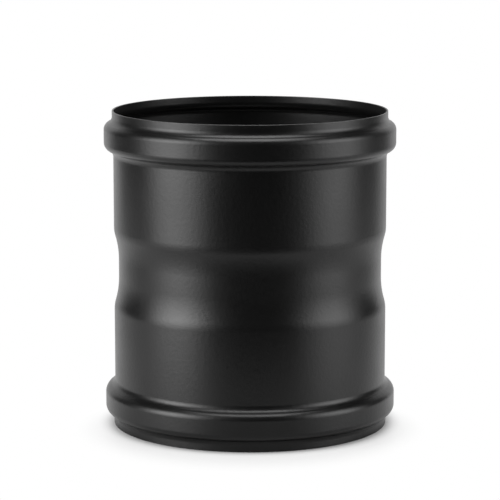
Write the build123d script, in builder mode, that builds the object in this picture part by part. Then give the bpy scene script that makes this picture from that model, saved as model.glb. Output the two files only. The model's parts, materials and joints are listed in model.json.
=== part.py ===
"""Stovepipe coupling: a thin sheet-steel sleeve that joins two stove pipes end to end.

The sleeve is one formed tube. From each end inwards its wall runs as a plain lip, a rounded bead with
room for a sealing ring, a straight socket for the pipe, and a shallow waist that both pipes stop
against. The two ends are alike. The origin is at the centre of the bottom rim, +Z runs up the axis,
and sizes are in millimetres.
"""
import os

from build123d import *

# Sheet and socket
pipe_diameter = 80.0  # outside of the pipe that slides into each end
pipe_clearance = 0.4  # room between pipe and socket, on the radius
wall = 0.5  # sheet thickness
socket_length = 21.1  # straight wall that guides the pipe

# Lip, from the free end to the foot of the bead
lip_length = 1.85  # straight part of the lip
lip_flare = 0.35  # how far the lip stands outside the socket wall, on the radius

# Bead behind the lip
bead_height = 2.8  # crown above the socket wall
bead_crown_length = 3.85  # straight part of the crown
bead_outer_run = 3.8  # length of the shoulder on the lip's side
bead_inner_run = 4.25  # length of the shoulder on the socket's side
bead_outer_share = 0.47  # part of the outer shoulder taken by its hollow curve
bead_inner_share = 0.48  # part of the inner shoulder taken by its hollow curve

# Waist in the middle
waist_depth = 1.4  # floor below the socket wall
waist_run = 9.75  # length of the slope down to the floor
waist_run_share = 0.27  # part of the slope taken by its curve at the socket
waist_floor_length = 5.6  # straight part of the floor

# Sizes that follow, with the radii on the outside of the sheet
socket_radius = pipe_diameter / 2 + pipe_clearance + wall
lip_radius = socket_radius + lip_flare
bead_radius = socket_radius + bead_height
waist_radius = socket_radius - waist_depth
rim_rounding = 0.3 * wall  # small round on both edges of the cut rim

# Heights above the middle of the sleeve, from the waist out to the rim
waist_floor_end = waist_floor_length / 2
socket_start = waist_floor_end + waist_run
socket_end = socket_start + socket_length
crown_start = socket_end + bead_inner_run
crown_end = crown_start + bead_crown_length
lip_start = crown_end + bead_outer_run
half_length = lip_start + lip_length


def shoulder(start, end, share):
    """Draws an S-shaped shoulder of two tangent arcs, parallel to the axis at both ends.

    share is the part of the way from start to end at which the first arc gives way to the second.
    """
    turn = start + (end - start) * share
    TangentArc(start, turn, tangent=(0, -1))
    TangentArc(end, turn, tangent=(0, 1))


def sheet_line():
    """Draws the outside of the sheet from the top rim down to the middle of the waist."""
    rim = Vector(lip_radius, half_length)
    lip_foot = Vector(lip_radius, lip_start)
    crown_top = Vector(bead_radius, crown_end)
    crown_bottom = Vector(bead_radius, crown_start)
    socket_top = Vector(socket_radius, socket_end)
    socket_bottom = Vector(socket_radius, socket_start)
    floor_edge = Vector(waist_radius, waist_floor_end)
    middle = Vector(waist_radius, 0)
    Line(rim, lip_foot)
    shoulder(lip_foot, crown_top, bead_outer_share)
    Line(crown_top, crown_bottom)
    shoulder(crown_bottom, socket_top, 1 - bead_inner_share)
    Line(socket_top, socket_bottom)
    shoulder(socket_bottom, floor_edge, waist_run_share)
    Line(floor_edge, middle)


os.makedirs("parts", exist_ok=True)

# The sheet's section stands in the XZ plane, with its own level zero at half height
section_plane = Plane.XZ.shift_origin((0, 0, half_length))

with BuildPart() as coupling_sleeve:
    with BuildSketch(section_plane):
        with BuildLine():
            sheet_line()
            mirror(about=Plane.XZ)
            offset(amount=wall, side=Side.RIGHT)
        make_face()
    revolve(axis=Axis.Z)
    circles = coupling_sleeve.edges().filter_by(GeomType.CIRCLE)
    levels = circles.group_by(Axis.Z)
    fillet(levels[0] + levels[-1], rim_rounding)

coupling_sleeve.part.label = "coupling_sleeve"
export_step(coupling_sleeve.part, "parts/coupling_sleeve.step")
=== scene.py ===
"""Studio picture of a matt black stovepipe coupling.

The coupling is one formed sheet-steel sleeve. Its section is drawn again here as a fine mesh, with the
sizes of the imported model, and gets its paint from shader nodes. Lengths are in metres, +Z is up, and
the photograph's camera stands on the -Y side.
"""
import json
import logging
import math
from dataclasses import dataclass, field, replace
from enum import Enum

import bpy
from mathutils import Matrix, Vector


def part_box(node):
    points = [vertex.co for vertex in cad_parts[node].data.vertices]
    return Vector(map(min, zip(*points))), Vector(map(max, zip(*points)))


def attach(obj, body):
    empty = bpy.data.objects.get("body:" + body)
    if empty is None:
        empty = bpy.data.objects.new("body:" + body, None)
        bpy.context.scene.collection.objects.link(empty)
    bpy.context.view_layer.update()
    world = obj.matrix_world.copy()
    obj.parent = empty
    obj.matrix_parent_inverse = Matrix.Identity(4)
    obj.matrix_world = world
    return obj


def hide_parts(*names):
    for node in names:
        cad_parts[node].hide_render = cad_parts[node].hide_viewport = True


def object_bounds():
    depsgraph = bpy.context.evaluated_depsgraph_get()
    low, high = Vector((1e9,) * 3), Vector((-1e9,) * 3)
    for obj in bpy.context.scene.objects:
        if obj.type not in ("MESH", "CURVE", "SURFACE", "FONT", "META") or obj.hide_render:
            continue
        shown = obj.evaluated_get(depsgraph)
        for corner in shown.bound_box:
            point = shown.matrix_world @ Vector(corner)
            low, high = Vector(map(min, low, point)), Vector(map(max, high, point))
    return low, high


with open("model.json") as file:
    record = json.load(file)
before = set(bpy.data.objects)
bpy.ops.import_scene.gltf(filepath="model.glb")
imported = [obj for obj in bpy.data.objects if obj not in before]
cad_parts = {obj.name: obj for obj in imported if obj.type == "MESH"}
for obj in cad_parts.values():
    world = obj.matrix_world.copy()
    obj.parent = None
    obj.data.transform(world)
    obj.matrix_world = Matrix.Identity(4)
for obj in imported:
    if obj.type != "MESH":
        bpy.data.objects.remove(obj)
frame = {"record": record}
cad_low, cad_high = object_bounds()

log = logging.getLogger("coupling")

NODE = "coupling_sleeve"
MM = 0.001
MIDDLE = 0.5  # middle of a range from 0 to 1
WHITE = (1.0, 1.0, 1.0, 1.0)

Tree = bpy.types.NodeTree
Socket = bpy.types.NodeSocket


class Region(Enum):
    """The stretches of the sheet that get a coat of their own. The value is the material slot."""

    OUTSIDE = 0
    RIM = 1
    INSIDE = 2


@dataclass(frozen=True)
class SectionPoint:
    """One point of the sheet's section.

    Attributes:
        radius: Distance from the sleeve's axis.
        height: Height above the sleeve's middle.
        normal: Unit normal of the sheet there, as radial and axial parts.
        region: The coat on the stretch that starts at this point.
    """

    radius: float
    height: float
    normal: tuple[float, float]
    region: Region

    def at_other_end(self) -> "SectionPoint":
        """Gives the matching point of the sleeve's other half."""
        radial, axial = self.normal
        return replace(self, height=-self.height, normal=(radial, -axial))

    def behind(self, wall: float) -> "SectionPoint":
        """Gives the matching point on the inside of the sheet.

        Args:
            wall: Thickness of the sheet.

        Returns:
            The point straight behind this one.
        """
        radial, axial = self.normal
        return SectionPoint(
            radius=self.radius - wall * radial,
            height=self.height - wall * axial,
            normal=(-radial, -axial),
            region=Region.INSIDE,
        )


@dataclass
class SheetSection:
    """The sheet's section: lip, bead, socket and waist, the same at both ends.

    The bore, the sockets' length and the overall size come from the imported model; the rest are the
    sleeve's own sizes.

    Attributes:
        bore_radius: Inside radius of the sockets.
        bead_radius: Outside radius of the bead's crown.
        length: Height of the whole sleeve.
        socket_length: Straight wall that guides the pipe.
        wall: Thickness of the sheet.
        lip_length: Straight part of the lip.
        lip_flare: How far the lip stands outside the socket wall.
        bead_crown_length: Straight part of the bead's crown.
        bead_outer_run: Length of the bead's shoulder on the lip's side.
        bead_outer_share: Part of that shoulder taken by its hollow curve.
        bead_inner_run: Length of the bead's shoulder on the socket's side.
        bead_inner_share: Part of that shoulder taken by its hollow curve.
        waist_depth: How far the waist's floor lies below the socket wall.
        waist_run: Length of the slope down to the floor.
        waist_run_share: Part of the slope taken by its curve at the socket.
        rim_round_share: Small round on the edges of the cut rim, as a share of the wall.
        arc_steps: Faces along each arc.
        straight_steps: Faces along each straight stretch.
        rim_steps: Faces along each small round of the rim.
    """

    bore_radius: float
    bead_radius: float
    length: float
    socket_length: float
    wall: float = 0.5 * MM
    lip_length: float = 1.85 * MM
    lip_flare: float = 0.35 * MM
    bead_crown_length: float = 3.85 * MM
    bead_outer_run: float = 3.8 * MM
    bead_outer_share: float = 0.47
    bead_inner_run: float = 4.25 * MM
    bead_inner_share: float = 0.48
    waist_depth: float = 1.4 * MM
    waist_run: float = 9.75 * MM
    waist_run_share: float = 0.27
    rim_round_share: float = 0.3
    arc_steps: int = 6
    straight_steps: int = 3
    rim_steps: int = 4

    @property
    def socket_radius(self) -> float:
        """Outside radius of the socket wall."""
        return self.bore_radius + self.wall

    @property
    def lip_radius(self) -> float:
        """Outside radius of the lip."""
        return self.socket_radius + self.lip_flare

    @property
    def rim_radii(self) -> tuple[float, float]:
        """Inner and outer radius of the cut rim."""
        return (self.lip_radius - self.wall, self.lip_radius)

    @property
    def rim_round(self) -> float:
        """Radius of the small round on each edge of the cut rim."""
        return self.rim_round_share * self.wall

    def straight(self, radius: float, top: float, bottom: float) -> list[SectionPoint]:
        """Samples a straight stretch of the outside.

        Args:
            radius: Outside radius of the stretch.
            top: Height of its upper end.
            bottom: Height of its lower end.

        Returns:
            The points from the top to just above the bottom.
        """
        points = []
        for step in range(self.straight_steps):
            height = top + (bottom - top) * step / self.straight_steps
            points.append(SectionPoint(radius, height, (1.0, 0.0), Region.OUTSIDE))
        return points

    @staticmethod
    def arc_point(origin: tuple[float, float], bend: float, side: float, angle: float) -> SectionPoint:
        """Finds a point on an arc that starts parallel to the axis.

        Args:
            origin: Radius and height of the arc's start.
            bend: Radius of the arc, negative where it runs up from its start.
            side: 1 where the shoulder widens downwards, -1 where it narrows.
            angle: How far the arc has turned.

        Returns:
            The point on the outside of the sheet.
        """
        across, along = math.cos(angle), math.sin(angle)
        radius = origin[0] + side * bend * (1.0 - across)
        height = origin[1] - bend * along
        return SectionPoint(radius, height, (across, side * along), Region.OUTSIDE)

    def shoulder(
        self, start: tuple[float, float], end: tuple[float, float], share: float
    ) -> list[SectionPoint]:
        """Samples an S-shaped shoulder of two tangent arcs, parallel to the axis at both ends.

        Args:
            start: Radius and height of its upper end.
            end: Radius and height of its lower end.
            share: Part of the way at which the first arc gives way to the second.

        Returns:
            The points from the start to just before the end.
        """
        drop = start[1] - end[1]
        rise = end[0] - start[0]
        side = math.copysign(1.0, rise)
        turn = 2.0 * math.atan2(abs(rise), drop)
        both_radii = drop / math.sin(turn)
        first = both_radii * share
        second = both_radii - first
        shares = [step / self.arc_steps for step in range(self.arc_steps)]
        points = [self.arc_point(start, first, side, turn * part) for part in shares]
        points += [self.arc_point(end, -second, side, turn * (1.0 - part)) for part in shares]
        return points

    def upper_outside(self) -> list[SectionPoint]:
        """Samples the outside from the top rim's round down to the middle of the waist.

        Returns:
            The points in order, the last one at half height.
        """
        rim_height = self.length / 2
        lip_start = rim_height - self.lip_length
        crown_top = lip_start - self.bead_outer_run
        crown_bottom = crown_top - self.bead_crown_length
        socket_top = crown_bottom - self.bead_inner_run
        socket_bottom = socket_top - self.socket_length
        floor_top = socket_bottom - self.waist_run
        waist_radius = self.socket_radius - self.waist_depth
        points = self.straight(self.lip_radius, rim_height - self.rim_round, lip_start)
        points += self.shoulder(
            (self.lip_radius, lip_start),
            (self.bead_radius, crown_top),
            self.bead_outer_share,
        )
        points += self.straight(self.bead_radius, crown_top, crown_bottom)
        points += self.shoulder(
            (self.bead_radius, crown_bottom),
            (self.socket_radius, socket_top),
            1.0 - self.bead_inner_share,
        )
        points += self.straight(self.socket_radius, socket_top, socket_bottom)
        points += self.shoulder(
            (self.socket_radius, socket_bottom),
            (waist_radius, floor_top),
            self.waist_run_share,
        )
        points += self.straight(waist_radius, floor_top, 0.0)
        points.append(SectionPoint(waist_radius, 0.0, (1.0, 0.0), Region.OUTSIDE))
        return points

    def rim(self, up: bool) -> list[SectionPoint]:
        """Samples the cut rim between the two faces of the sheet.

        Args:
            up: True for the top rim, walked from the inside out; False for the bottom rim, walked from
                the outside in.

        Returns:
            The points strictly between the ends of the two faces.
        """
        end = self.length / 2
        small = self.rim_round
        inner_radius, outer_radius = self.rim_radii
        outer_centre = outer_radius - small
        inner_centre = inner_radius + small
        outer_arc = []
        inner_arc = []
        for step in range(1, self.rim_steps + 1):
            angle = math.pi / 2 * step / self.rim_steps
            across = math.cos(angle)
            along = math.sin(angle)
            height = end - small + small * along
            outer_arc.append((outer_centre + small * across, height, across, along))
            inner_arc.append((inner_centre - small * across, height, -across, along))
        walk = inner_arc + outer_arc[::-1] if up else outer_arc + inner_arc[::-1]
        side = 1.0 if up else -1.0
        points = []
        for radius, height, across, along in walk:
            points.append(SectionPoint(radius, side * height, (across, side * along), Region.RIM))
        return points

    def outline(self) -> list[SectionPoint]:
        """Walks once round the sheet's section.

        Returns:
            The closed outline: down the outside, across the bottom rim, up the inside and across the
            top rim.
        """
        upper = self.upper_outside()
        outside = upper + [point.at_other_end() for point in upper[-2::-1]]
        inside = [point.behind(self.wall) for point in reversed(outside)]
        for face in (outside, inside):
            face[-1] = replace(face[-1], region=Region.RIM)
        return outside + self.rim(up=False) + inside + self.rim(up=True)


def add_object(name: str, data: bpy.types.ID) -> bpy.types.Object:
    """Adds an object to the scene.

    Args:
        name: The object's name.
        data: Its mesh, light or camera.

    Returns:
        The new object.
    """
    made = bpy.data.objects.new(name, data)
    bpy.context.scene.collection.objects.link(made)
    return made


def node(tree: Tree, kind: str, **values: object) -> bpy.types.Node:
    """Adds a node and sets its own options.

    Args:
        tree: The tree that gets the node.
        kind: The node's Blender type.
        values: Options of the node by name.

    Returns:
        The new node.
    """
    made = tree.nodes.new(kind)
    for name, value in values.items():
        setattr(made, name, value)
    return made


def group_node(tree: Tree, group: Tree, values: dict[str, float]) -> bpy.types.Node:
    """Places a node group.

    Args:
        tree: The tree that gets the group.
        group: The group's own tree.
        values: Inputs that differ from the group's usual values.

    Returns:
        The new node.
    """
    made = node(tree, "ShaderNodeGroup", node_tree=group)
    for name, value in values.items():
        made.inputs[name].default_value = value
    return made


def math_node(tree: Tree, operation: str, first: Socket | float, second: Socket | float = 0.0) -> Socket:
    """Adds a Math node between sockets or plain numbers.

    Args:
        tree: The tree that gets the node.
        operation: The node's operation.
        first: Its first input.
        second: Its second input.

    Returns:
        The node's result.
    """
    made = node(tree, "ShaderNodeMath", operation=operation)
    for slot, value in zip(made.inputs, (first, second)):
        if isinstance(value, Socket):
            tree.links.new(value, slot)
        else:
            slot.default_value = value
    return made.outputs[0]


def spread(tree: Tree, value: Socket, before: tuple[float, float], after: tuple[float, float]) -> Socket:
    """Carries a value smoothly from one range to another.

    Args:
        tree: The tree that gets the node.
        value: The value to carry over.
        before: Its range.
        after: The range it gets.

    Returns:
        The new value.
    """
    made = node(tree, "ShaderNodeMapRange", interpolation_type="SMOOTHSTEP")
    tree.links.new(value, made.inputs["Value"])
    for name, number in zip(("From Min", "From Max", "To Min", "To Max"), (*before, *after)):
        made.inputs[name].default_value = number
    return made.outputs["Result"]


def clamped(tree: Tree, value: Socket) -> Socket:
    """Keeps a value between 0 and 1.

    Args:
        tree: The tree that gets the node.
        value: The value to keep in.

    Returns:
        The new value.
    """
    made = node(tree, "ShaderNodeClamp")
    tree.links.new(value, made.inputs["Value"])
    return made.outputs["Result"]


def split(tree: Tree, vector: Socket) -> dict[str, Socket]:
    """Splits a vector.

    Args:
        tree: The tree that gets the node.
        vector: The vector.

    Returns:
        Its parts under X, Y and Z.
    """
    made = node(tree, "ShaderNodeSeparateXYZ")
    tree.links.new(vector, made.inputs["Vector"])
    return {axis: made.outputs[axis] for axis in "XYZ"}


def noise_node(tree: Tree, place: Socket, detail: float, roughness: float = 0.5) -> bpy.types.Node:
    """Adds a noise.

    Args:
        tree: The tree that gets the node.
        place: Where the noise is read.
        detail: Number of finer layers in it.
        roughness: Weight of the finer layers.

    Returns:
        The new node, with its scale still to be set.
    """
    made = node(tree, "ShaderNodeTexNoise")
    tree.links.new(place, made.inputs["Vector"])
    made.inputs["Detail"].default_value = detail
    made.inputs["Roughness"].default_value = roughness
    return made


def grey(level: float) -> tuple[float, float, float, float]:
    """Gives a grey as an opaque colour."""
    return (level, level, level, 1.0)


def mix_greys(tree: Tree, share: Socket, first: Socket | float, second: float) -> Socket:
    """Mixes two greys.

    Args:
        tree: The tree that gets the node.
        share: Share of the second grey.
        first: The first grey, as a colour or a level.
        second: The level of the second grey.

    Returns:
        The mixed colour.
    """
    made = node(tree, "ShaderNodeMix", data_type="RGBA")
    tree.links.new(share, made.inputs["Factor"])
    if isinstance(first, Socket):
        tree.links.new(first, made.inputs["A"])
    else:
        made.inputs["A"].default_value = grey(first)
    made.inputs["B"].default_value = grey(second)
    return made.outputs["Result"]


def mix_shaders(tree: Tree, share: Socket, first: Socket, second: Socket) -> Socket:
    """Blends two shaders.

    Args:
        tree: The tree that gets the node.
        share: Share of the second shader.
        first: The first shader.
        second: The second shader.

    Returns:
        The blended shader.
    """
    made = node(tree, "ShaderNodeMixShader")
    for value, slot in zip((share, first, second), made.inputs):
        tree.links.new(value, slot)
    return made.outputs["Shader"]


def mirrored_ray(tree: Tree, path: bpy.types.Node) -> Socket:
    """Tells whether a ray comes off a mirroring surface or through glass.

    Args:
        tree: The tree that gets the node.
        path: The tree's Light Path node.

    Returns:
        1 for such a ray and 0 for any other.
    """
    return math_node(
        tree, "MAXIMUM", path.outputs["Is Glossy Ray"], path.outputs["Is Transmission Ray"]
    )


@dataclass
class CoatEffects:
    """The effects that all coats share, each one a node group that is built once.

    Attributes:
        swell_fineness: Fineness of the soft swell under the grain, as a share of the grain's.
        drift_gain: How far the drift's middle tones are pulled apart.
        patch_per_m: Fineness of the patches of lighter paint near the rims.
        patch_levels: Noise levels between which a patch sets in.
        grain: The fine sprayed grain.
        drift: The slow drift of the coat's thickness.
        rim_lightening: The paint made lighter near the rims, in patches.
    """

    swell_fineness: float = 0.3
    drift_gain: float = 2.2
    patch_per_m: float = 900.0
    patch_levels: tuple[float, float] = (0.42, 0.68)
    grain: Tree = field(init=False)
    drift: Tree = field(init=False)
    rim_lightening: Tree = field(init=False)

    def __post_init__(self) -> None:
        """Builds the groups."""
        self.grain = self.build_grain()
        self.drift = self.build_drift()
        self.rim_lightening = self.build_rim_lightening()

    @staticmethod
    def new_group(
        name: str, takes: dict[str, float], gives: str
    ) -> tuple[Tree, dict[str, Socket], Socket, Socket]:
        """Starts a node group.

        Args:
            name: The group's name.
            takes: Its inputs with their usual values.
            gives: Its output.

        Returns:
            The group's tree, its inputs by name, the place on the object and the output to fill.
        """
        tree = bpy.data.node_groups.new(name, "ShaderNodeTree")
        for socket, value in takes.items():
            made = tree.interface.new_socket(socket, in_out="INPUT", socket_type="NodeSocketFloat")
            made.default_value = value
        tree.interface.new_socket(gives, in_out="OUTPUT", socket_type="NodeSocketFloat")
        taken = node(tree, "NodeGroupInput")
        given = node(tree, "NodeGroupOutput")
        place = node(tree, "ShaderNodeTexCoord")
        inputs = {socket: taken.outputs[socket] for socket in takes}
        return tree, inputs, place.outputs["Object"], given.inputs[gives]

    def build_grain(self) -> Tree:
        """Builds the fine sprayed grain: close pimples with a softer orange-peel swell under them.

        Returns:
            The group, which gives the grain's height from 0 to 1.
        """
        takes = {"Per metre": 3200.0, "Swell": 0.7}
        tree, inputs, place, height = self.new_group("paint_grain", takes, "Height")
        fine = noise_node(tree, place, detail=2.0, roughness=0.6)
        tree.links.new(inputs["Per metre"], fine.inputs["Scale"])
        swell = noise_node(tree, place, detail=1.0)
        swell_scale = math_node(tree, "MULTIPLY", inputs["Per metre"], self.swell_fineness)
        tree.links.new(swell_scale, swell.inputs["Scale"])
        soft = math_node(tree, "MULTIPLY", swell.outputs["Fac"], inputs["Swell"])
        kept = math_node(tree, "SUBTRACT", 1.0, inputs["Swell"])
        sharp = math_node(tree, "MULTIPLY", fine.outputs["Fac"], kept)
        tree.links.new(math_node(tree, "ADD", soft, sharp), height)
        return tree

    def build_drift(self) -> Tree:
        """Builds the slow drift of the coat's thickness round and along the sleeve.

        Returns:
            The group, which gives how thin the coat lies, from 0 to 1.
        """
        takes = {"Per metre": 45.0, "Contrast": 1.0}
        tree, inputs, place, thin = self.new_group("coat_drift", takes, "Thin")
        clouds = noise_node(tree, place, detail=4.0, roughness=0.55)
        tree.links.new(inputs["Per metre"], clouds.inputs["Scale"])
        off_middle = math_node(tree, "SUBTRACT", clouds.outputs["Fac"], MIDDLE)
        gain = math_node(tree, "MULTIPLY", inputs["Contrast"], self.drift_gain)
        wide = math_node(tree, "MULTIPLY", off_middle, gain)
        tree.links.new(clamped(tree, math_node(tree, "ADD", wide, MIDDLE)), thin)
        return tree

    def build_rim_lightening(self) -> Tree:
        """Builds the lighter paint near the two rims, broken up by fine noise.

        Returns:
            The group, which gives how far the paint is made lighter, from 0 to 1.
        """
        takes = {"Rim height": 0.0948, "Reach": 0.0012, "Amount": 1.0}
        tree, inputs, place, rim_lighter = self.new_group("rim_lightening_band", takes, "Lighter")
        half = math_node(tree, "DIVIDE", inputs["Rim height"], 2.0)
        above_middle = math_node(tree, "SUBTRACT", split(tree, place)["Z"], half)
        to_rim = math_node(tree, "SUBTRACT", half, math_node(tree, "ABSOLUTE", above_middle))
        away = math_node(tree, "DIVIDE", to_rim, inputs["Reach"])
        near = clamped(tree, math_node(tree, "SUBTRACT", 1.0, away))
        broken = noise_node(tree, place, detail=3.0)
        broken.inputs["Scale"].default_value = self.patch_per_m
        patches = spread(tree, broken.outputs["Fac"], self.patch_levels, (0.0, 1.0))
        lightened = math_node(tree, "MULTIPLY", near, patches)
        tree.links.new(math_node(tree, "MULTIPLY", lightened, inputs["Amount"]), rim_lighter)
        return tree


@dataclass(frozen=True)
class StovePaint:
    """One coat of matt black stove paint.

    Attributes:
        name: The material's name.
        dark: Grey of the coat where it lies thick.
        pale: Grey of the coat where it lies thin.
        rim_lighter: Grey of the coat close to the rims.
        roughness: Lowest and highest roughness over the surface.
        specular: How strongly the coat mirrors, as the shader's specular level.
        rim_lighter_amount: How far the coat is made lighter at the rims.
        grain_height: Height of the grain.
        grain_per_m: Fineness of the sprayed grain.
    """

    name: str
    dark: float
    pale: float
    rim_lighter: float
    roughness: tuple[float, float]
    specular: float
    rim_lighter_amount: float
    grain_height: float = 0.042 * MM
    grain_per_m: float = 3200.0

    def make(self, effects: CoatEffects, rim_height: float) -> bpy.types.Material:
        """Builds the coat's material.

        Args:
            effects: The effects that the coats share.
            rim_height: Height of the top rim.

        Returns:
            The finished material.
        """
        material = bpy.data.materials.new(self.name)
        material.use_nodes = True
        tree = material.node_tree
        shader = tree.nodes["Principled BSDF"]
        shader.inputs["Specular IOR Level"].default_value = self.specular
        grain = group_node(tree, effects.grain, {"Per metre": self.grain_per_m}).outputs["Height"]
        thin = group_node(tree, effects.drift, {}).outputs["Thin"]
        near_rims = {"Rim height": rim_height, "Amount": self.rim_lighter_amount}
        rim_lighter = group_node(tree, effects.rim_lightening, near_rims).outputs["Lighter"]
        coat = mix_greys(tree, thin, self.dark, self.pale)
        tree.links.new(mix_greys(tree, rim_lighter, coat, self.rim_lighter), shader.inputs["Base Color"])
        uneven = math_node(tree, "SUBTRACT", grain, MIDDLE)
        sheen = math_node(tree, "ADD", thin, uneven)
        tree.links.new(spread(tree, sheen, (0.0, 1.0), self.roughness[::-1]), shader.inputs["Roughness"])
        relief = node(tree, "ShaderNodeBump")
        relief.inputs["Distance"].default_value = self.grain_height
        tree.links.new(grain, relief.inputs["Height"])
        tree.links.new(relief.outputs["Normal"], shader.inputs["Normal"])
        return material


@dataclass
class CouplingSleeve:
    """The coupling itself: one sheet-steel sleeve turned from its section.

    Attributes:
        section: The sheet's section.
        coats: The paint on each region of the sheet.
        segments: Facets round the sleeve.
    """

    section: SheetSection
    coats: dict[Region, StovePaint]
    segments: int = 288

    def build_mesh(self) -> bpy.types.Mesh:
        """Turns the section round the axis.

        Returns:
            The sleeve's mesh, standing on its bottom rim at the origin.
        """
        outline = self.section.outline()
        count = len(outline)
        lift = self.section.length / 2
        points = []
        normals = []
        for turn in range(self.segments):
            angle = 2.0 * math.pi * turn / self.segments
            across, along = math.cos(angle), math.sin(angle)
            for point in outline:
                radial, axial = point.normal
                points.append((point.radius * across, point.radius * along, point.height + lift))
                normals.append((radial * across, radial * along, axial))
        faces = []
        slots = []
        for turn in range(self.segments):
            here = turn * count
            there = (turn + 1) % self.segments * count
            for step, point in enumerate(outline):
                after = (step + 1) % count
                faces.append((here + step, here + after, there + after, there + step))
                slots.append(point.region.value)
        mesh = bpy.data.meshes.new("sleeve")
        mesh.from_pydata(points, [], faces)
        mesh.polygons.foreach_set("material_index", slots)
        mesh.polygons.foreach_set("use_smooth", [True] * len(faces))
        mesh.normals_split_custom_set_from_vertices(normals)
        mesh.update()
        return mesh

    def build(self) -> bpy.types.Object:
        """Makes the sleeve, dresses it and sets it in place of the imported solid.

        Returns:
            The sleeve's object.
        """
        sleeve = add_object("sleeve", self.build_mesh())
        effects = CoatEffects()
        for region in Region:
            sleeve.data.materials.append(self.coats[region].make(effects, self.section.length))
        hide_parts(NODE)
        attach(sleeve, "root")
        return sleeve


@dataclass
class PhotoCamera:
    """The photograph's camera.

    Attributes:
        distance: Level distance from the sleeve's axis.
        height: Height above the floor.
        pitch_deg: How far the camera looks down.
        focal_px: Focal length in pixels of the square picture.
        side_px: The picture's side in pixels.
        sensor_mm: Side of the sensor.
        clip: Nearest and farthest distance that it shows.
    """

    distance: float = 0.7121
    height: float = 0.17115
    pitch_deg: float = 9.476
    focal_px: float = 2394.4
    side_px: float = 500.0
    sensor_mm: float = 36.0
    clip: tuple[float, float] = (0.05, 50.0)

    def place(self) -> bpy.types.Object:
        """Makes the camera and gives it to the scene.

        Returns:
            The camera's object.
        """
        data = bpy.data.cameras.new("photo_camera")
        data.sensor_width = self.sensor_mm
        data.lens = self.focal_px / self.side_px * self.sensor_mm
        data.clip_start, data.clip_end = self.clip
        camera = add_object("photo_camera", data)
        camera.location = (0.0, -self.distance, self.height)
        camera.rotation_euler = (math.radians(90.0 - self.pitch_deg), 0.0, 0.0)
        bpy.context.scene.camera = camera
        return camera


def area_light(name: str, width: float, height: float, radiance: float) -> bpy.types.AreaLight:
    """Makes the light of a rectangular lamp.

    Args:
        name: The light's name.
        width: Width of its face.
        height: Height of its face.
        radiance: Brightness of its face, where 1 is white.

    Returns:
        The new light.
    """
    data = bpy.data.lights.new(name, "AREA")
    data.shape = "RECTANGLE"
    data.size = width
    data.size_y = height
    data.energy = radiance * math.pi * width * height
    return data


@dataclass
class Softbox:
    """A soft lamp beside the table, brightest in the middle of its upright face.

    Attributes:
        name: The lamp's name.
        azimuth_deg: Where it stands, from the camera's side round to the right.
        radiance: Brightness of the face's middle, where 1 is white.
        width: Width of its face.
        low: Height of the face's lower edge.
        high: Height of the face's upper edge.
        dim: Brightness of the lower and upper edge, as a share of the middle's.
        even: Share of the width that is evenly bright.
        distance: Level distance from the sleeve's axis.
    """

    name: str
    azimuth_deg: float
    radiance: float
    width: float = 0.74
    low: float = -0.18
    high: float = 0.7
    dim: float = 0.25
    even: float = 0.1
    distance: float = 0.6

    def soften(self, data: bpy.types.AreaLight) -> None:
        """Fades the face out towards its edges.

        Args:
            data: The lamp's light.
        """
        data.use_nodes = True
        tree = data.node_tree
        face = split(tree, node(tree, "ShaderNodeNewGeometry").outputs["Parametric"])
        across = (face["X"], self.even, 0.0)
        upright = (face["Y"], 0.0, self.dim)
        fades = []
        for place, even, edge in (across, upright):
            off_middle = math_node(tree, "ABSOLUTE", math_node(tree, "SUBTRACT", place, MIDDLE))
            fades.append(spread(tree, off_middle, (even / 2, MIDDLE), (1.0, edge)))
        tree.links.new(math_node(tree, "MULTIPLY", *fades), tree.nodes["Emission"].inputs["Strength"])

    def place(self) -> bpy.types.Object:
        """Makes the lamp, upright and facing the axis.

        Returns:
            The lamp's object.
        """
        data = area_light(self.name, self.width, self.high - self.low, self.radiance)
        self.soften(data)
        lamp = add_object(self.name, data)
        turn = math.radians(self.azimuth_deg)
        lamp.location = (
            self.distance * math.sin(turn),
            -self.distance * math.cos(turn),
            (self.low + self.high) / 2,
        )
        lamp.rotation_euler = (math.pi / 2, 0.0, turn)
        lamp.visible_camera = False
        return lamp


@dataclass
class OverheadPanel:
    """A soft panel above the table.

    Attributes:
        height: Height above the table.
        front: How far its middle stands in front of the axis.
        width: Size from left to right.
        depth: Size from front to back.
        radiance: Brightness of its face, where 1 is white.
    """

    height: float = 0.75
    front: float = 0.1
    width: float = 0.6
    depth: float = 0.48
    radiance: float = 5.5

    def place(self) -> bpy.types.Object:
        """Makes the panel, facing straight down.

        Returns:
            The panel's object.
        """
        panel = add_object(
            "overhead_panel", area_light("overhead_panel", self.width, self.depth, self.radiance)
        )
        panel.location = (0.0, -self.front, self.height)
        panel.visible_camera = False
        return panel


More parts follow.
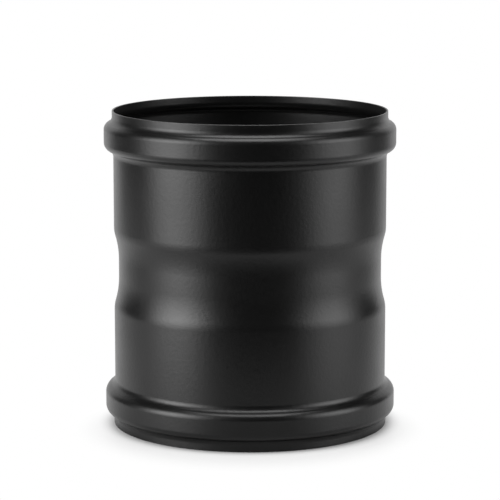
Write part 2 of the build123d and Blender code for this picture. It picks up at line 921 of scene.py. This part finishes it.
@dataclass
class RoundTable:
    """The small white round table under the sleeve, with a painted shade round the sleeve, which runs out
    into the white behind it.

    Attributes:
        rim_radii: Inner and outer radius of the sleeve's bottom rim, outside which the top lies open.
        radius: The table's radius.
        back: How far its middle stands behind the sleeve's axis.
        painted_shade_front: How far in front of the axis the middle of the painted shade on it lies.
        colour: Grey of its top close to that middle and away from it; the darker grey near the sleeve is
            painted shade.
        painted_shade_radii: Distances from that middle between which the painted shade gives way to the
            paler grey.
        roughness: Roughness of its top, which is a little glossy.
        specular: How strongly its top mirrors, as the shader's specular level.
        lift: White added to what the lamps give, so that the lit top is white.
        fade_radii: Distances from the painted shade's middle between which the top turns plain white.
        painted_shadow_radii: Distances from the axis between which both set in, which paints a shadow
            close round the sleeve.
        glow_depth: Distances behind the axis between which both set in where the top is mirrored, a
            painted glow for the sleeve's reflections.
        glow_half_width: Distances to the side between which that painted glow fades out again there.
        glow_spread: How much wider to each side that painted glow reaches with depth.
        rings: Rings of faces in the top.
        segments: Facets round the top.
    """

    rim_radii: tuple[float, float]
    radius: float = 0.5
    back: float = 0.38
    painted_shade_front: float = 0.012
    colour: tuple[float, float] = (0.33, 0.62)
    painted_shade_radii: tuple[float, float] = (0.044, 0.104)
    roughness: float = 0.42
    specular: float = 0.14
    lift: float = 0.44
    fade_radii: tuple[float, float] = (0.035, 0.0535)
    painted_shadow_radii: tuple[float, float] = (0.0385, 0.0468)
    glow_depth: tuple[float, float] = (-0.07, 0.03)
    glow_half_width: tuple[float, float] = (0.04, 0.15)
    glow_spread: float = 0.7
    rings: int = 4
    segments: int = 96

    @staticmethod
    def distance(tree: Tree, place: Socket, front: float) -> Socket:
        """Measures the distance from a point on the top.

        Args:
            tree: The tree that gets the node.
            place: The place to measure from.
            front: How far in front of the axis the point lies.

        Returns:
            The distance.
        """
        made = node(tree, "ShaderNodeVectorMath", operation="DISTANCE")
        tree.links.new(place, made.inputs[0])
        made.inputs[1].default_value = (0.0, -front, 0.0)
        return made.outputs["Value"]

    def shown_white(self, tree: Tree, place: Socket) -> Socket:
        """Works out how much of the added white a ray sees.

        Args:
            tree: The tree that gets the nodes.
            place: The place on the top.

        Returns:
            All of it for the camera, that behind the sleeve for a mirrored ray, and none inside the
            sleeve or right beside it, so that a painted shadow lies right beside it.
        """
        path = node(tree, "ShaderNodeLightPath")
        flat = split(tree, place)
        # For mirrored rays the added white glows only behind and beside the sleeve: painted reflections
        # on it.
        behind = spread(tree, flat["Y"], self.glow_depth, (0.0, 1.0))
        wider = math_node(tree, "MULTIPLY", flat["Y"], self.glow_spread)
        beside = math_node(tree, "SUBTRACT", math_node(tree, "ABSOLUTE", flat["X"]), wider)
        lit = math_node(tree, "MULTIPLY", behind, spread(tree, beside, self.glow_half_width, (1.0, 0.0)))
        mirrored = math_node(tree, "MULTIPLY", mirrored_ray(tree, path), lit)
        shown = math_node(tree, "MAXIMUM", path.outputs["Is Camera Ray"], mirrored)
        from_axis = self.distance(tree, place, front=0.0)
        outside = spread(tree, from_axis, self.rim_radii, (0.0, 1.0))
        # Held back close round the sleeve: this paints the shadow there.
        clear = spread(tree, from_axis, self.painted_shadow_radii, (0.0, 1.0))
        open_top = math_node(tree, "MULTIPLY", outside, clear)
        return math_node(tree, "MULTIPLY", shown, open_top)

    def material(self) -> bpy.types.Material:
        """Builds the table's white top, open to a camera that looks up from under it.

        Returns:
            The finished material.
        """
        made = bpy.data.materials.new("white_table")
        made.use_nodes = True
        tree = made.node_tree
        top = tree.nodes["Principled BSDF"]
        top.inputs["Roughness"].default_value = self.roughness
        top.inputs["Specular IOR Level"].default_value = self.specular
        top.inputs["Emission Color"].default_value = WHITE
        place = node(tree, "ShaderNodeTexCoord").outputs["Object"]
        from_painted_shade = self.distance(tree, place, self.painted_shade_front)
        # The top's grey is painted darker near the sleeve: painted shade, seen by every ray.
        tree.links.new(spread(tree, from_painted_shade, self.painted_shade_radii, self.colour), top.inputs["Base Color"])
        shown = self.shown_white(tree, place)
        tree.links.new(math_node(tree, "MULTIPLY", shown, self.lift), top.inputs["Emission Strength"])
        # The fade to plain white is measured from the painted shade's middle, in front of the axis.
        fade = math_node(tree, "MULTIPLY", shown, spread(tree, from_painted_shade, self.fade_radii, (0.0, 1.0)))
        white = node(tree, "ShaderNodeEmission").outputs["Emission"]
        blend = mix_shaders(tree, fade, top.outputs["BSDF"], white)
        under = node(tree, "ShaderNodeNewGeometry").outputs["Backfacing"]
        clear = node(tree, "ShaderNodeBsdfTransparent").outputs["BSDF"]
        whole = mix_shaders(tree, under, blend, clear)
        tree.links.new(whole, tree.nodes["Material Output"].inputs["Surface"])
        return made

    def build(self) -> bpy.types.Object:
        """Makes the table top at the level of the sleeve's bottom rim.

        Returns:
            The table's object.
        """
        points = [(0.0, self.back, 0.0)]
        faces = []
        for ring in range(1, self.rings + 1):
            reach = self.radius * ring / self.rings
            for turn in range(self.segments):
                angle = 2.0 * math.pi * turn / self.segments
                points.append((reach * math.cos(angle), self.back + reach * math.sin(angle), 0.0))
        for turn in range(self.segments):
            after = (turn + 1) % self.segments
            faces.append((0, 1 + turn, 1 + after))
            for ring in range(self.rings - 1):
                inner = 1 + ring * self.segments
                outer = inner + self.segments
                faces.append((inner + turn, outer + turn, outer + after, inner + after))
        mesh = bpy.data.meshes.new("table")
        mesh.from_pydata(points, [], faces)
        mesh.materials.append(self.material())
        table = add_object("table", mesh)
        table.location = (0.0, 0.0, cad_low.z)
        return table


@dataclass
class Backdrop:
    """The white paper behind the table, with the unlit room on the camera's side.

    Attributes:
        side_cosine: Where the paper's edges fade out, as cosines of the angle from straight behind.
        top_sine: Where its top fades out, as sines of the elevation.
        ambience: Brightness of the room for the sleeve's own colour.
    """

    side_cosine: tuple[float, float] = (0.66, 0.82)
    top_sine: tuple[float, float] = (0.36, 0.52)
    ambience: float = 0.15

    def hang(self) -> bpy.types.World:
        """Makes the world: white for the camera, paper and dark room for what the sleeve mirrors.

        Returns:
            The scene's world.
        """
        world = bpy.data.worlds.new("studio")
        world.use_nodes = True
        tree = world.node_tree
        sky = tree.nodes["Background"]
        sky.inputs["Color"].default_value = WHITE
        towards = split(tree, node(tree, "ShaderNodeTexCoord").outputs["Generated"])
        squares = [math_node(tree, "MULTIPLY", towards[axis], towards[axis]) for axis in "XY"]
        level = math_node(tree, "SQRT", math_node(tree, "ADD", *squares))
        behind = math_node(tree, "DIVIDE", towards["Y"], level)
        sides = spread(tree, behind, self.side_cosine, (0.0, 1.0))
        below_top = spread(tree, towards["Z"], self.top_sine, (1.0, 0.0))
        paper = math_node(tree, "MULTIPLY", sides, below_top)
        path = node(tree, "ShaderNodeLightPath")
        mirrored = math_node(tree, "MULTIPLY", mirrored_ray(tree, path), paper)
        shown = math_node(tree, "MAXIMUM", path.outputs["Is Camera Ray"], mirrored)
        soft = math_node(tree, "MULTIPLY", path.outputs["Is Diffuse Ray"], self.ambience)
        tree.links.new(math_node(tree, "MAXIMUM", shown, soft), sky.inputs["Strength"])
        bpy.context.scene.world = world
        return world


COATS = {
    Region.OUTSIDE: StovePaint(
        name="outer_coat",
        dark=0.0018,
        pale=0.0032,
        rim_lighter=0.012,
        roughness=(0.31, 0.37),
        specular=0.36,
        rim_lighter_amount=0.6,
    ),
    Region.RIM: StovePaint(
        name="rim_coat",
        dark=0.005,
        pale=0.009,
        rim_lighter=0.02,
        roughness=(0.32, 0.4),
        specular=0.5,
        rim_lighter_amount=1.0,
        grain_height=0.01 * MM,
    ),
    Region.INSIDE: StovePaint(
        name="inner_coat",
        dark=0.0016,
        pale=0.0028,
        rim_lighter=0.012,
        roughness=(0.34, 0.42),
        specular=0.36,
        rim_lighter_amount=0.3,
    ),
}

SOFTBOXES = (
    Softbox(name="left_softbox", azimuth_deg=-63.0, radiance=10.2),
    Softbox(name="right_softbox", azimuth_deg=71.5, radiance=5.7),
)


def read_section() -> SheetSection:
    """Takes the section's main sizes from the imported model.

    Returns:
        The section, with the model's bore, bead and length.
    """
    mounts = {mount["name"]: mount for mount in frame["record"]["mounts"]}
    socket = mounts["top_socket"]["dims"]
    low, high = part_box(NODE)
    return SheetSection(
        bore_radius=socket["r_mm"] * MM,
        bead_radius=(high.x - low.x) / 2,
        length=high.z - low.z,
        socket_length=socket["length_mm"] * MM,
    )


def main() -> None:
    """Builds the picture piece by piece."""
    logging.basicConfig(level=logging.INFO, format="%(name)s: %(message)s")
    bpy.context.scene.view_settings.view_transform = "Standard"
    section = read_section()
    sleeve = CouplingSleeve(section=section, coats=COATS).build()
    log.info("%s: %d faces", sleeve.name, len(sleeve.data.polygons))
    table = RoundTable(rim_radii=section.rim_radii).build()
    log.info("%s: %d faces", table.name, len(table.data.polygons))
    for lamp in (*SOFTBOXES, OverheadPanel()):
        placed = lamp.place()
        log.info("%s: %.1f W", placed.name, placed.data.energy)
    log.info("%s: world", Backdrop().hang().name)
    log.info("%s: camera", PhotoCamera().place().name)


if __name__ == "__main__":
    main()
